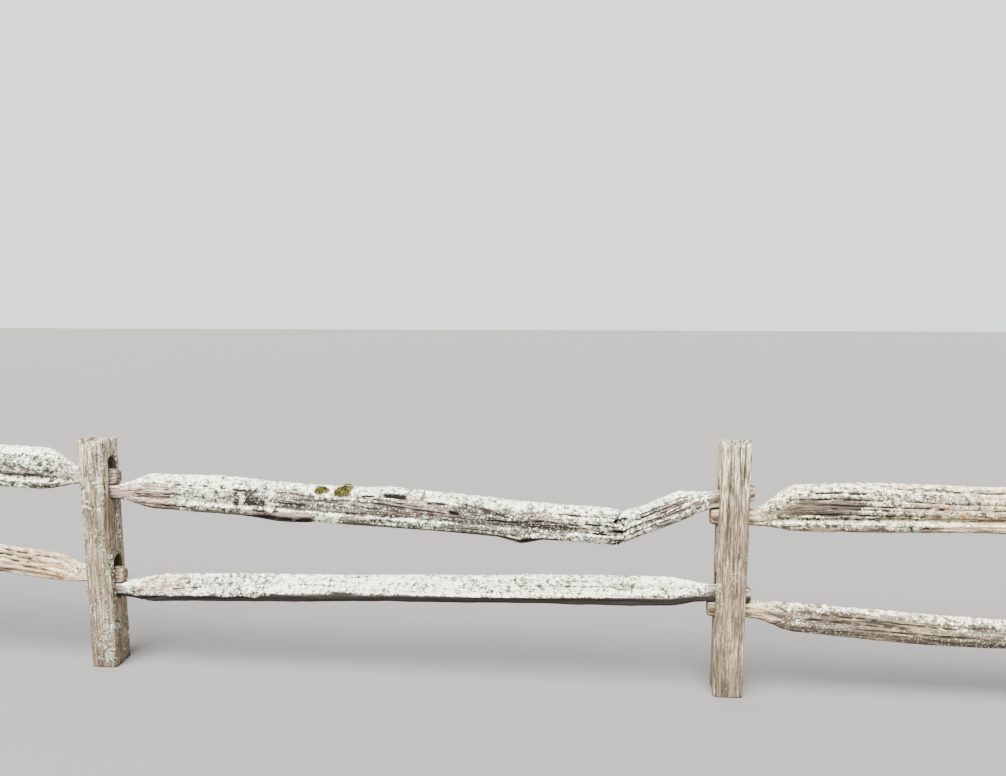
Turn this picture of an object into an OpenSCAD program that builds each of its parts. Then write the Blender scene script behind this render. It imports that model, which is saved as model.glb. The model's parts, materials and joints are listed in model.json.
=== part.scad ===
// Split rail fence: hewn posts with through mortises, and split rails whose
// hewn ends lie in them, one on top of the other. Four bays, five posts.
// X runs along the fence, Y away from its front, Z up; the origin is on the
// foot of post 3. All lengths are in millimetres.

/* [Layout] */
// Distance between neighbouring posts, middle to middle
bay_length = 2950; // [2400:10:3400]

/* [Posts] */
// Post size along the fence, at its front
post_w = 132; // [110:1:160]
// Post size along the fence, at its back
post_back_w = 114; // [90:1:160]
// Post size across the fence
post_d = 138; // [115:1:170]
// Radius of the worn post edges
post_edge = 15; // [6:1:30]
// How far the weathered top is dished between its corners
post_dish = 24; // [0:1:30]
// Depth of the ragged notches in the rim of the top
post_rag = 6; // [0:1:12]
// Unevenness of the split post faces
post_rough = 2.4; // [0:0.1:4]
// Wood left above the upper mortise of post 1
head_1 = 100; // [60:5:220]
// Wood left above the upper mortise of post 2
head_2 = 100; // [60:5:220]
// Wood left above the upper mortise of post 3
head_3 = 190; // [60:5:220]
// Wood left above the upper mortise of post 4
head_4 = 150; // [60:5:220]
// Wood left above the upper mortise of post 5
head_5 = 140; // [60:5:220]

/* [Mortises] */
// Width of a mortise, across the fence
mortise_w = 66; // [56:1:80]
// Height of a mortise
mortise_h = 210; // [190:1:230]
// Sill of the upper mortise in post 1
upper_1 = 1010; // [960:5:1050]
// Sill of the upper mortise in post 2
upper_2 = 820; // [760:5:860]
// Sill of the upper mortise in post 3
upper_3 = 775; // [740:5:850]
// Sill of the upper mortise in post 4
upper_4 = 750; // [740:5:850]
// Sill of the upper mortise in post 5
upper_5 = 815; // [740:5:880]
// Sill of the lower mortise in post 1
lower_1 = 525; // [450:5:600]
// Sill of the lower mortise in post 2
lower_2 = 335; // [280:5:420]
// Sill of the lower mortise in post 3
lower_3 = 350; // [280:5:420]
// Sill of the lower mortise in post 4
lower_4 = 305; // [260:5:420]
// Sill of the lower mortise in post 5
lower_5 = 330; // [280:5:420]

/* [Rail ends] */
// Height of a hewn rail end
tenon_h = 75; // [60:1:82]
// How far a rail end stands out past the post
tenon_out = 30; // [15:1:50]
// Length over which a rail narrows to its hewn end
shoulder = 175; // [120:5:300]
// Room beside a rail end in its mortise
side_gap = 3; // [1:0.5:6]
// Room under a rail end that lies on a sill or on the next rail
seat_gap = 0.3; // [0.2:0.05:0.5]

/* [Rail sizes] */
// Height of the heavy top rails in bays 1 and 3
heavy_h = 192; // [160:1:215]
// Depth of the heavy top rails
heavy_d = 142; // [110:1:160]
// Height of the top rails in bays 2 and 4
top_h = 158; // [130:1:185]
// Depth of the top rails in bays 2 and 4
top_d = 116; // [90:1:140]
// Height of the bottom rails
low_h = 114; // [95:1:135]
// Depth of the bottom rails
low_d = 96; // [80:1:120]
// Unevenness of the split rail faces
rail_rough = 4; // [0:0.5:7]

/* [Bends] */
// Upward bend of the top rail in bay 1
crown_1_top = 25; // [-60:5:60]
// Upward bend of the bottom rail in bay 1
crown_1_bottom = 60; // [-90:5:90]
// Upward bend of the bottom rail in bay 2
crown_2_bottom = 8; // [-60:2:60]
// Upward bend of the top rail in bay 3
crown_3_top = -4; // [-60:2:60]
// Upward bend of the bottom rail in bay 3
crown_3_bottom = -88; // [-90:2:60]
// Upward bend of the top rail in bay 4
crown_4_top = -30; // [-60:5:60]
// Upward bend of the bottom rail in bay 4
crown_4_bottom = 20; // [-60:5:60]

/* [Broken rail] */
// Distance of the break from the middle of post 3
break_from_post = 490; // [400:5:700]
// Height of the rail's middle at the break
break_z = 750; // [700:5:800]
// Slope of the broken stub in its mortise, in degrees
stub_tilt = 12; // [4:1:14]
// Height of the stub at the break
stub_h = 120; // [115:1:160]
// Depth of the stub at the break
stub_d = 112; // [90:1:130]
// How far the stub's body lies below its hewn end
stub_drop = 12; // [0:1:20]
// Room between the two broken ends
break_gap = 0.3; // [0.2:0.05:1]
// Distance of the root of the long splinter from the middle of post 2
splinter_from_post = 720; // [500:10:1100]
// Length of the splinter
splinter_l = 330; // [200:5:500]
// Thickness of the splinter
splinter_t = 14; // [10:1:24]
// How far the splinter sags away from the rail
splinter_sag = 24; // [16:1:30]

/* [Hidden] */

bare_wood = "#9c8672";
lichen_wood = "#d9dac8";
post_wood = "#c9c1ab";

// Post 3 carries the origin, so post i stands (i - 3) bays away
function post_x(i) = (i - 3) * bay_length;
upper_sill = [0, upper_1, upper_2, upper_3, upper_4, upper_5];
lower_sill = [0, lower_1, lower_2, lower_3, lower_4, lower_5];
head = [0, head_1, head_2, head_3, head_4, head_5];
function post_top(i) = upper_sill[i] + mortise_h + head[i];

tenon_w = mortise_w - 2 * side_gap;
rail_reach = post_w / 2 + tenon_out;
tenon_tip = 14;
tip_scale = 0.86;
tenon_chamfer = 7;
// Middle of a rail end above the sill: lying on it, or on the next rail's end
sill_seat = seat_gap + tenon_h / 2;
stacked_seat = 2 * seat_gap + 1.5 * tenon_h;
lapped_seats = ["sill", "stacked"];
single_seats = ["sill", "sill"];

// Bends of the rails by the number of their bay: up in the middle, up all
// along, and towards the back in the middle
top_crown = [0, crown_1_top, 0, crown_3_top, crown_4_top];
top_lift = [0, 12, 20, 46, -16];
top_sweep = [0, -14, -4, -8, 12];
low_crown = [0, crown_1_bottom, crown_2_bottom, crown_3_bottom, crown_4_bottom];
low_lift = [0, 1, 6, 4, 6];
low_sweep = [0, 12, -6, 10, -10];

// Knots of each bay's top rail: distance from the bay's left post, outline
// point that it sits on, height and reach; the stub's is measured from post 3
top_knots = [[], [[1600, 14, 12, 110]],
    [[600, 7, 14, 160], [1420, 7, 11, 80], [1600, 7, 18, 420], [2016, 0, 28, 64]],
    [[620, 7, 18, 320]], [[1350, 1, 14, 100]]];
stub_knots = [[-210, 7, 26, 84]];

// Lengths of the two waves in the grain, and the seeds of their phases
grain_wave = 1895;
grain_ripple = 766;
ripple_share = 0.6;
top_seed = [0, 195, 5, 201, 170];
low_seed = [0, 117, 120, 123, 126];
stub_seed = 8;

points_round = 16;
angle_step = 360 / points_round;
bore_sides = 48;
body_steps = 13;
long_piece_steps = 22;
stub_steps = 7;
splinter_steps = 6;
shoulder_steps = 4;
post_steps = 9;

// Outlines of the split timbers as shares of half the depth and half the
// height, from the underside round the back, over the top and down the front
// (front is -Y). The inward points on the front are drying cracks.
plank_outline = [
    [0, -1], [0.45, -0.97], [0.80, -0.72], [0.98, -0.35],
    [1, 0.05], [0.92, 0.48], [0.72, 0.84], [0.35, 1],
    [-0.10, 0.95], [-0.55, 0.76], [-0.88, 0.50], [-0.96, 0.10],
    [-0.74, -0.28], [-1, -0.40], [-0.90, -0.72], [-0.50, -0.95]];
ledge_outline = [
    [0, -1], [0.50, -0.95], [0.85, -0.70], [1, -0.30],
    [1, 0.10], [0.90, 0.50], [0.65, 0.85], [0.25, 1],
    [-0.15, 0.94], [-0.50, 0.74], [-0.72, 0.36], [-0.76, -0.04],
    [-0.72, -0.28], [-0.30, -0.40], [-1, -0.52], [-0.86, -0.92]];
wedge_outline = [
    [-0.05, -1], [0.45, -0.97], [0.85, -0.74], [1, -0.35],
    [0.98, 0.05], [0.88, 0.45], [0.70, 0.80], [0.42, 1],
    [0.12, 0.92], [-0.15, 0.68], [-0.40, 0.40], [-0.62, 0.10],
    [-0.84, -0.18], [-1, -0.42], [-0.90, -0.62], [-0.74, -1]];
strand_outline = [
    [0, -1], [0.50, -0.92], [0.85, -0.65], [0.97, -0.25],
    [0.95, 0.15], [0.85, 0.55], [0.60, 0.88], [0.20, 1],
    [-0.25, 0.90], [-0.72, 0.64], [-0.62, 0.40], [-0.96, 0.18],
    [-0.76, -0.12], [-1, -0.34], [-0.80, -0.64], [-0.55, -0.94]];

// The jagged split line of the break, from under the rail to over it: how far
// right of the break each point lies, and how far above the rail's middle
split_reach = 170;
split_line = [[-10, -split_reach], [-13, -54], [23, -28], [-11, -4],
    [15, 18], [-21, 42], [6, 84], [8, split_reach]];

// Chips lost from the front of the stub along that line: how high above the
// rail's middle each lay, how far right of the break it reached, how thick it was
lost_chips = [[36, 28, 15], [-8, 38, 14], [-60, 22, 15]];
chip_mouth = 30;
chip_depth = 46;

function mix(a, b, t) = a + (b - a) * t;
function ease(t) = let(c = min(1, max(0, t))) c * c * (3 - 2 * c);
function bell(t) = exp(-t * t);
function total(v) = len(v) == 0 ? 0 : v * [for (n = v) 1];

// Slow waves along the grain, different for every corner of the outline
function grain(k, x, seed) =
    (sin(360 * x / grain_wave + k * 131 + seed * 57)
    + ripple_share * sin(360 * x / grain_ripple + k * 77 + seed * 29)) / (1 + ripple_share);

// Solid through rings of points with a middle point at each end
module loft(rings, first_middle, last_middle) {
    n = len(rings[0]);
    m = len(rings);
    corners = [for (ring = rings) each ring];
    sides = [for (i = [0:m - 2], j = [0:n - 1])
        let(k = (j + 1) % n, a = i * n + j, b = a + n, c = (i + 1) * n + k, d = i * n + k)
            each [[a, b, c], [a, c, d]]];
    first_cap = [for (j = [0:n - 1]) [n * m, j, (j + 1) % n]];
    last_cap = [for (j = [0:n - 1]) [n * m + 1, (m - 1) * n + (j + 1) % n, (m - 1) * n + j]];
    polyhedron(concat(corners, [first_middle, last_middle]),
        concat(sides, first_cap, last_cap), convexity = 6);
}

// Posts

// Split post seen from above: worn corners, narrower at the back
function post_outline(w, back, d, r) = [for (c = [0:3])
    let(sx = [1, 1, -1, -1][c], sy = [-1, 1, 1, -1][c],
        middle = [[0, -d / 2], [w / 2, 0], [0, d / 2], [-w / 2, 0]][c])
    for (p = concat([middle], [for (a = [0:45:90])
        [sx * (w / 2 - r) + r * cos(a + 90 * c - 90),
         sy * (d / 2 - r) + r * sin(a + 90 * c - 90)]]))
    [p[0] * mix(1, back / w, p[1] / d + 0.5), p[1]]];

// A worn top: its corners stand, the rim between them is dished and ragged, and
// the softer middle has sunk below the rim
rim_share = 0.985;
hollow_share = 0.62;
hollow_sink = 7;
corner_power = 3;
post_wave = 1.7;
function worn_off(p, k, seed) =
    post_dish * (1 - pow(min(1, abs(p[0]) / (post_w / 2)), corner_power))
    + post_rag * (1 + sin(k * 143 + seed * 71)) / 2;

function top_ring(height, share, seed, outline) = [for (k = [0:points_round - 1])
    let(p = outline[k] * share) [p[0], p[1], height - worn_off(p, k, seed)]];

function post_ring(z, seed, outline) = [for (k = [0:points_round - 1])
    let(p = outline[k], push = 1 + post_rough * grain(k, z * post_wave, seed) / (post_w / 2))
    [p[0] * push, p[1] * push, z]];

module post_blank(height, seed) {
    outline = post_outline(post_w, post_back_w, post_d, post_edge);
    neck = height - 2 * post_dish - 2 * post_rag;
    stem = [for (i = [0:post_steps]) post_ring(neck * i / post_steps, seed, outline)];
    rim = top_ring(height, rim_share, seed, outline);
    hollow = top_ring(height - hollow_sink, hollow_share, seed + 3, outline);
    loft(concat(stem, [rim, hollow]), [0, 0, 0], [0, 0, height - post_dish - 1.5 * hollow_sink]);
}

// Through mortise, bored round at both ends and cut square between
module mortise(sill) {
    translate([-post_w, 0, sill]) rotate([90, 0, 90]) linear_extrude(2 * post_w) {
        translate([-mortise_w / 2, mortise_w / 2]) square([mortise_w, mortise_h - mortise_w]);
        for (v = [mortise_w / 2, mortise_h - mortise_w / 2])
            translate([0, v]) circle(d = mortise_w, $fn = bore_sides);
    }
}

module post(i) {
    color(post_wood) translate([post_x(i), 0, 0]) difference() {
        post_blank(post_top(i), i);
        mortise(upper_sill[i]);
        mortise(lower_sill[i]);
    }
}

// Rails

// Hewn end that lies on the sill: round below to fit the bored mortise, flat
// above. The end that lies on top of it is the same outline turned over.
function sill_tenon() =
    let(r = tenon_w / 2, top = tenon_h / 2, c = tenon_chamfer, bend = r - top,
        arc = function(k) [r * cos(k * angle_step - 90), bend + r * sin(k * angle_step - 90)])
    concat([for (k = [0:4]) arc(k)],
        [[r, top - 3 * c], [r, top - c], [r - c, top], [0, top],
         [c - r, top], [-r, top - c], [-r, top - 3 * c]],
        [for (k = [12:15]) arc(k)]);

function turned_over(outline) = [for (k = [0:points_round - 1])
    let(p = outline[(points_round * 3 / 2 - k) % points_round]) [p[0], -p[1]]];

function end_outline(seat) = seat == "sill" ? sill_tenon() : turned_over(sill_tenon());
function end_height(seat) = seat == "sill" ? sill_seat : stacked_seat;

// Middle of a whole rail: level in both mortises, bent between them
function rail_line(x, xa, za, xb, zb, crown, lift) =
    let(u = (x - xa) / (xb - xa),
        free = mix(za, zb, u) + 4 * crown * u * (1 - u) + lift,
        a = ease((x - xa - rail_reach) / shoulder),
        b = ease((xb - rail_reach - x) / shoulder))
    za * (1 - a) + zb * (1 - b) + free * (a + b - 1);

function placed(knots, x) = [for (n = knots) [x + n[0], n[1], n[2], n[3]]];

// One ring of a rail. swell is 0 in the mortise and 1 in the body; a knot is
// its place along the rail, the outline point it sits on, its height and reach
function rail_ring(x, z, y, swell, hewn, body, h, d, seed, knots, shrink = 1) =
    [for (k = [0:points_round - 1])
        let(knot = total([for (n = knots) n[2] * bell((x - n[0]) / n[3])
                * pow(max(0, cos((k - n[1]) * angle_step)), 2)]),
            push = 1 + (rail_rough * grain(k, x, seed) + knot) / (h / 2),
            by = body[k][0] * d / 2 * push + y,
            bz = body[k][1] * h / 2 * push)
        [x, mix(hewn[k][0], by, swell) * shrink, z + mix(hewn[k][1], bz, swell) * shrink]];

// Places of the rings at the left end of a rail: the hewn part, then close
// together where the rail widens to its body
function end_places(face) = concat(
    [face - post_w - 2 * tenon_out, face - post_w - 2 * tenon_out + tenon_tip, face - tenon_out],
    [for (i = [0:shoulder_steps]) face + shoulder * i / shoulder_steps]);

// A rail from post a to post a + 1, seated in both
module rail(a, sills, body, h, d, crown, lift, sweep, seed, knots, seats) {
    xa = post_x(a);
    xb = post_x(a + 1);
    za = sills[a] + end_height(seats[0]);
    zb = sills[a + 1] + end_height(seats[1]);
    left = end_places(xa + rail_reach);
    right = [for (x = end_places(rail_reach - xb)) -x];
    inner_a = xa + rail_reach + shoulder;
    inner_b = xb - rail_reach - shoulder;
    middle = [for (i = [1:body_steps - 1]) mix(inner_a, inner_b, i / body_steps)];
    places = concat(left, middle, [for (i = [len(right) - 1:-1:0]) right[i]]);
    last = len(places) - 1;
    rings = [for (i = [0:last])
        let(x = places[i],
            near_a = x < (xa + xb) / 2,
            from_face = near_a ? x - xa - rail_reach : xb - rail_reach - x,
            u = (x - xa) / (xb - xa))
        rail_ring(x, rail_line(x, xa, za, xb, zb, crown, lift), sweep * sin(180 * u),
            ease(from_face / shoulder), end_outline(near_a ? seats[0] : seats[1]),
            body, h, d, seed, placed(knots, xa), i == 0 || i == last ? tip_scale : 1)];
    loft(rings, [places[0], 0, za], [places[last], 0, zb]);
}

module top_rail(bay, body, h, d, seats = lapped_seats) {
    rail(bay, upper_sill, body, h, d, top_crown[bay], top_lift[bay], top_sweep[bay],
        top_seed[bay], top_knots[bay], seats);
}

module bottom_rail(bay, seats = lapped_seats) {
    rail(bay, lower_sill, wedge_outline, low_h, low_d, low_crown[bay], low_lift[bay],
        low_sweep[bay], low_seed[bay], [], seats);
}

module bay_1_top_rail() {
    color(lichen_wood) top_rail(1, ledge_outline, heavy_h, heavy_d);
}

module bay_1_bottom_rail() {
    color(bare_wood) bottom_rail(1);
}

module bay_2_bottom_rail() {
    color(lichen_wood) bottom_rail(2);
}

module bay_3_top_rail() {
    color(lichen_wood) top_rail(3, ledge_outline, heavy_h, heavy_d);
}

module bay_3_bottom_rail() {
    color(bare_wood) bottom_rail(3);
}

module bay_4_top_rail() {
    color(lichen_wood) top_rail(4, plank_outline, top_h, top_d, single_seats);
}

module bay_4_bottom_rail() {
    color(bare_wood) bottom_rail(4, single_seats);
}

// The broken rail of bay 2: a long piece from post 2 and a stub in post 3

break_x = post_x(3) - break_from_post;
break_overrun = 70;
stub_seat_z = upper_3 + 2 * seat_gap + tenon_h + tenon_h / 2 / cos(stub_tilt);
stub_run = break_from_post - rail_reach;
stub_sag = (stub_seat_z - stub_run * tan(stub_tilt) - break_z) / pow(stub_run, 2);

// Middle of the stub: straight where it is hewn, steeper towards the break
function stub_line(x) =
    let(s = x - post_x(3) + rail_reach)
    stub_seat_z + s * tan(stub_tilt) - (s < 0 ? stub_sag * s * s : 0);

// All that lies to one side of the split line: side is 1 for its right, -1
// for its left
module beside_break(side) {
    far = side * break_from_post;
    translate([break_x, top_d, break_z]) rotate([90, 0, 0]) linear_extrude(2 * top_d)
        polygon(concat(split_line, [[far, split_reach], [far, -split_reach]]));
}

module chip(above, reach, thick) {
    translate([break_x, chip_depth - stub_d / 2, break_z + above]) rotate([90, 0, 0])
        linear_extrude(stub_d) polygon([[-chip_mouth, -thick / 2], [reach / 3, -thick / 2],
            [reach, 0], [reach / 2, thick / 3], [-chip_mouth, thick / 2]]);
}

// Middle of the long piece: level in post 2, then falling straight to the break
function long_piece_line(x) =
    let(xa = post_x(2), za = upper_2 + sill_seat,
        free = mix(za + top_lift[2], break_z, (x - xa) / (break_x - xa)))
    mix(za, free, ease((x - xa - rail_reach) / shoulder));

module long_piece() {
    xa = post_x(2);
    inner_a = xa + rail_reach + shoulder;
    free_end = break_x + break_overrun;
    places = concat(end_places(xa + rail_reach),
        [for (i = [1:long_piece_steps]) mix(inner_a, free_end, i / long_piece_steps)]);
    last = len(places) - 1;
    rings = [for (i = [0:last])
        let(x = places[i])
        rail_ring(x, long_piece_line(x), top_sweep[2] * sin(90 * (x - xa) / bay_length),
            ease((x - xa - rail_reach) / shoulder), end_outline("sill"), plank_outline,
            top_h, top_d, top_seed[2], placed(top_knots[2], xa), i == 0 ? tip_scale : 1)];
    loft(rings, [places[0], 0, long_piece_line(places[0])],
        [places[last], 0, long_piece_line(places[last])]);
}

// A strip of wood split off the underside: its root is sunk in the rail, its
// middle sags and its thin end rises again
splinter_y = -30;
splinter_root = 12;
splinter_rise = 8;
splinter_bend = 1.6;
splinter_flat = 1.5;
root_share = 1.25;
tip_share = 0.25;
splinter_x = post_x(2) + splinter_from_post;
function splinter_line(u) = long_piece_line(splinter_x + splinter_l * u) - top_h / 2
    + splinter_root - splinter_sag * ease(splinter_bend * u) + splinter_rise * u;

module splinter() {
    rings = [for (i = [0:splinter_steps])
        let(u = i / splinter_steps, half = splinter_t / 2 * mix(root_share, tip_share, u))
        [for (a = [0:60:300]) [splinter_x + splinter_l * u,
            splinter_y + splinter_flat * half * sin(a), splinter_line(u) - half * cos(a)]]];
    loft(rings, [splinter_x, splinter_y, splinter_line(0)],
        [splinter_x + splinter_l, splinter_y, splinter_line(1)]);
}

module bay_2_top_rail() {
    color(lichen_wood) difference() {
        union() {
            long_piece();
            splinter();
        }
        beside_break(1);
    }
}

module bay_2_top_rail_stub() {
    start = break_x - break_overrun;
    inner = post_x(3) - rail_reach;
    outer = post_x(3) + rail_reach;
    places = concat([for (i = [0:stub_steps]) mix(start, inner, i / stub_steps)],
        [outer - tenon_tip, outer]);
    last = len(places) - 1;
    rings = [for (i = [0:last])
        let(x = places[i], swell = ease((inner - x) / shoulder))
        rail_ring(x, stub_line(x) - stub_drop * swell, 0, swell, end_outline("stacked"),
            strand_outline, stub_h, stub_d, stub_seed, placed(stub_knots, post_x(3)),
            i == last ? tip_scale : 1)];
    color(lichen_wood) difference() {
        loft(rings, [start, 0, stub_line(start)], [outer, 0, stub_line(outer)]);
        translate([break_gap, 0, 0]) beside_break(-1);
        for (c = lost_chips) chip(c[0], c[1], c[2]);
    }
}

post(1);  // post_1
post(2);  // post_2
post(3);  // post_3
post(4);  // post_4
post(5);  // post_5
bay_1_top_rail();
bay_1_bottom_rail();
bay_2_top_rail();
bay_2_top_rail_stub();
bay_2_bottom_rail();
bay_3_top_rail();
bay_3_bottom_rail();
bay_4_top_rail();
bay_4_bottom_rail();
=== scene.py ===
import json
from math import cos, pi, radians

import bpy
import numpy as np
from mathutils import Matrix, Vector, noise

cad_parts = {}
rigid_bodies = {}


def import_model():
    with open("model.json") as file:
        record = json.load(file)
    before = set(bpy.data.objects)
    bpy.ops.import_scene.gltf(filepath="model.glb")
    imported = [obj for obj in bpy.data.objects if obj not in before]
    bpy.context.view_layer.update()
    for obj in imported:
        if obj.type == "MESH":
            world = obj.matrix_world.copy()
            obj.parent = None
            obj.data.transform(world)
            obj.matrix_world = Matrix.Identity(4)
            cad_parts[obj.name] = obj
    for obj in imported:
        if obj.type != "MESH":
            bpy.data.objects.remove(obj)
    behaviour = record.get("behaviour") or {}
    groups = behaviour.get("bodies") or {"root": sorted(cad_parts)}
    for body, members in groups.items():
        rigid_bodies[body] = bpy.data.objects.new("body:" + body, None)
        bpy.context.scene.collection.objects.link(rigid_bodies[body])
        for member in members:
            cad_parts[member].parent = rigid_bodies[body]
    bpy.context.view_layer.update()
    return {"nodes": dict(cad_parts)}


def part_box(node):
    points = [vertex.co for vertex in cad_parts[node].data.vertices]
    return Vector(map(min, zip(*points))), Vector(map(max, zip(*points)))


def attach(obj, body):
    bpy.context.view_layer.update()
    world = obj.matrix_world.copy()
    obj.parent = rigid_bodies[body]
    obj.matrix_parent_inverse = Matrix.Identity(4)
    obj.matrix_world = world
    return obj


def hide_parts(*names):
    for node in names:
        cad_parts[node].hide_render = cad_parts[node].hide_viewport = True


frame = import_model()

# Split rail fence. Every rail and post gets a fine skin over its solid and is worked along its
# grain as on a bench; lichen and moss then grow on it. X runs along the fence, -Y is its front.

# View from the front, studio floor and light, in metres and degrees. The lens was fitted in pixels.
view = {"place": (-0.719, -3.205, 1.766), "down": 6.9, "left": 5.3,
        "sensor": 36, "focalPixels": 726, "widthPixels": 1006}
studio = {"floor": "#63615f", "floorSize": 80, "sky": "#e4e6e8", "skyStrength": 2.15,
          "sun": 21, "sunHeight": 6, "sunSpread": 50, "sunBack": 28, "sunLeft": -18}


def selectOnly(piece):
    bpy.ops.object.select_all(action="DESELECT")
    piece.select_set(True)
    bpy.context.view_layer.objects.active = piece


def linear(hexColour):
    parts = [int(hexColour[i:i + 2], 16) / 255 for i in (1, 3, 5)]
    return [c / 12.92 if c <= 0.04045 else ((c + 0.055) / 1.055) ** 2.4 for c in parts] + [1.0]


def addNode(tree, kind, settings, inputs, out=0):
    node = tree.nodes.new(kind)
    for key, value in settings.items():
        if key == "stops":  # colours along a ramp
            while len(node.color_ramp.elements) < len(value):
                node.color_ramp.elements.new(0.5)
            for element, (place, colour) in zip(node.color_ramp.elements, value):
                element.position, element.color = place, linear(colour)
        else:
            setattr(node, key, value)
    for key, value in inputs.items():
        if isinstance(value, bpy.types.NodeSocket):
            tree.links.new(value, node.inputs[key])
        else:
            node.inputs[key].default_value = value
    return node.outputs[out]


def newMaterial(name, roughness, specular=0.25):
    material = bpy.data.materials.new(name)
    material.use_nodes = True
    shader = material.node_tree.nodes["Principled BSDF"]
    shader.inputs["Roughness"].default_value = roughness
    shader.inputs["Specular IOR Level"].default_value = specular
    return material, material.node_tree, shader


def setStudio():
    bpy.ops.object.camera_add(location=view["place"],
                              rotation=(radians(90 - view["down"]), 0, radians(view["left"])))
    camera = bpy.context.object
    camera.name = "frontView"
    camera.data.sensor_width = view["sensor"]
    camera.data.lens = view["sensor"] * view["focalPixels"] / view["widthPixels"]
    bpy.context.scene.camera = camera
    bpy.ops.mesh.primitive_plane_add(size=studio["floorSize"])
    floor = bpy.context.object
    floor.name = "paleFloor"
    material, _, shader = newMaterial("mattFloorPaint", 0.9)
    shader.inputs["Base Color"].default_value = linear(studio["floor"])
    floor.data.materials.append(material)
    bpy.ops.object.light_add(type="SUN", location=(0, 0, studio["sunHeight"]),
                             rotation=(radians(studio["sunBack"]), 0, radians(studio["sunLeft"])))
    bpy.context.object.data.energy = studio["sun"]
    bpy.context.object.data.angle = radians(studio["sunSpread"])
    world = bpy.data.worlds.new("overcastSky")
    bpy.context.scene.world = world
    world.use_nodes = True
    world.node_tree.nodes["Background"].inputs["Color"].default_value = linear(studio["sky"])
    world.node_tree.nodes["Background"].inputs["Strength"].default_value = studio["skyStrength"]


# Split locust wood, weathered outdoors for decades and never painted: silver on the ridges, tan
# where a sliver came off later. The drying checks, cracks and holes get a very dark painted shade,
# faces turned down a lighter painted shade. Pale crusts of lichen lie on it.
woodLooks = {
    "lichenedRailWood": {
        "dark": "#33291f", "mid": "#776b60", "light": "#bbb1a2", "bareDark": "#6b5549", "bare": "#ccb4a3",
        "crustDark": "#26261f", "crustMid": "#6c6f60", "crustLight": "#f4f4dc", "lobe": 11, "dots": 0.85},
    "bareRailWood": {
        "dark": "#352b20", "mid": "#79674f", "light": "#b9a990", "bareDark": "#7a6549", "bare": "#dec6a0",
        "crustDark": "#2e2d23", "crustMid": "#7d7c62", "crustLight": "#f5eccd", "lobe": 10, "dots": 0.5},
    "postWood": {
        "dark": "#44392c", "mid": "#a39576", "light": "#e4dabe", "bareDark": "#584a3a", "bare": "#95816a",
        "crustDark": "#434232", "crustMid": "#8f917a", "crustLight": "#efecd8", "lobe": 9, "dots": 0.3},
}
# rust is a real stain; shade is a painted shade for faces turned down and recesses, check a very dark
# painted shade in checks, cracks and holes
stainsAndShade = {"rust": "#b06a2c", "shade": "#241f1a", "check": "#15110d"}
mossFilm = [(0.38, "#1d1c0a"), (0.5, "#4d4a1a"), (0.62, "#7d742f")]
# Widths of the patterns in millimetres: along the grain and across it, or the same all round
woodScale = {"fibre": (70, 6), "streak": (420, 19), "hair": (150, 8), "tongue": (120, 9),
             "speck": 9, "patch": 45, "blotch": 22, "dot": 9, "clump": 16}
noises = {"speck": {"Scale": 1000 / woodScale["speck"], "Detail": 4, "Roughness": 0.7},
          "patch": {"Scale": 1000 / woodScale["patch"], "Detail": 4, "Roughness": 0.6},
          "blotch": {"Scale": 1000 / woodScale["blotch"], "Detail": 2},
          "warm": {"Scale": 1000 / woodScale["patch"], "Detail": 2},
          "clump": {"Scale": 1000 / woodScale["clump"], "Detail": 2}}
crustBlend = {"speck": 0.36, "blotch": 0.60, "lobes": 0.18, "lichen": 0.15}  # what makes a crust pale
coverBlend = {"speck": 1.5, "patch": 0.7}  # what breaks up the edge of a crust
woodBlend = {"streak": 0.45, "ragged": 1.6, "shade": 0.9, "ruffle": 0.01, "film": 0.9}
woodTones, crustTones = (0.41, 0.49, 0.56), (0.59, 0.68, 0.82)  # where dark, middle and light lie
woodBumps = {"Strength": 0.7, "Distance": 0.003}
# Map ranges: between one value (1) and another (2), the result goes from one figure (3) to another (4)
woodRanges = {
    "hairCheck": {1: 0.01, 2: 0.05, 3: 0.8, 4: 0.0}, "paler": {1: 1.05, 2: 1.4, 3: 0.0, 4: 0.13},
    "isFresh": {1: 1.1, 2: 1.35, 3: 0.0, 4: 1.0}, "pitted": {1: 0.36, 2: 0.46, 3: 0.55, 4: 0.0},
    "onTop": {1: 0.3, 2: 0.9, 3: 0.0, 4: 0.08}, "inGap": {1: 0.0, 2: 0.1, 3: 0.7, 4: 0.0},
    "covered": {1: 1.52, 2: 1.60, 3: 0.0, 4: 1.0}, "chosen": {1: 0.46, 2: 0.56, 3: 0.0},
    "isDot": {1: 0.20, 2: 0.42, 3: 1.0, 4: 0.0}, "dotted": {1: 0.08, 2: 0.26, 3: 0.0, 4: 1.0},
    "isMossy": {1: 0.95, 2: 1.1, 3: 0.0, 4: 0.95}}
# The under and hollow layers hold painted shade; under also darkens some patches of wood, hollow also the
# growth rings on the end faces
woodLayers = ("bare", "rust", "under", "hollow", "moss")  # painted on each skin, besides the lichen


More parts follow.
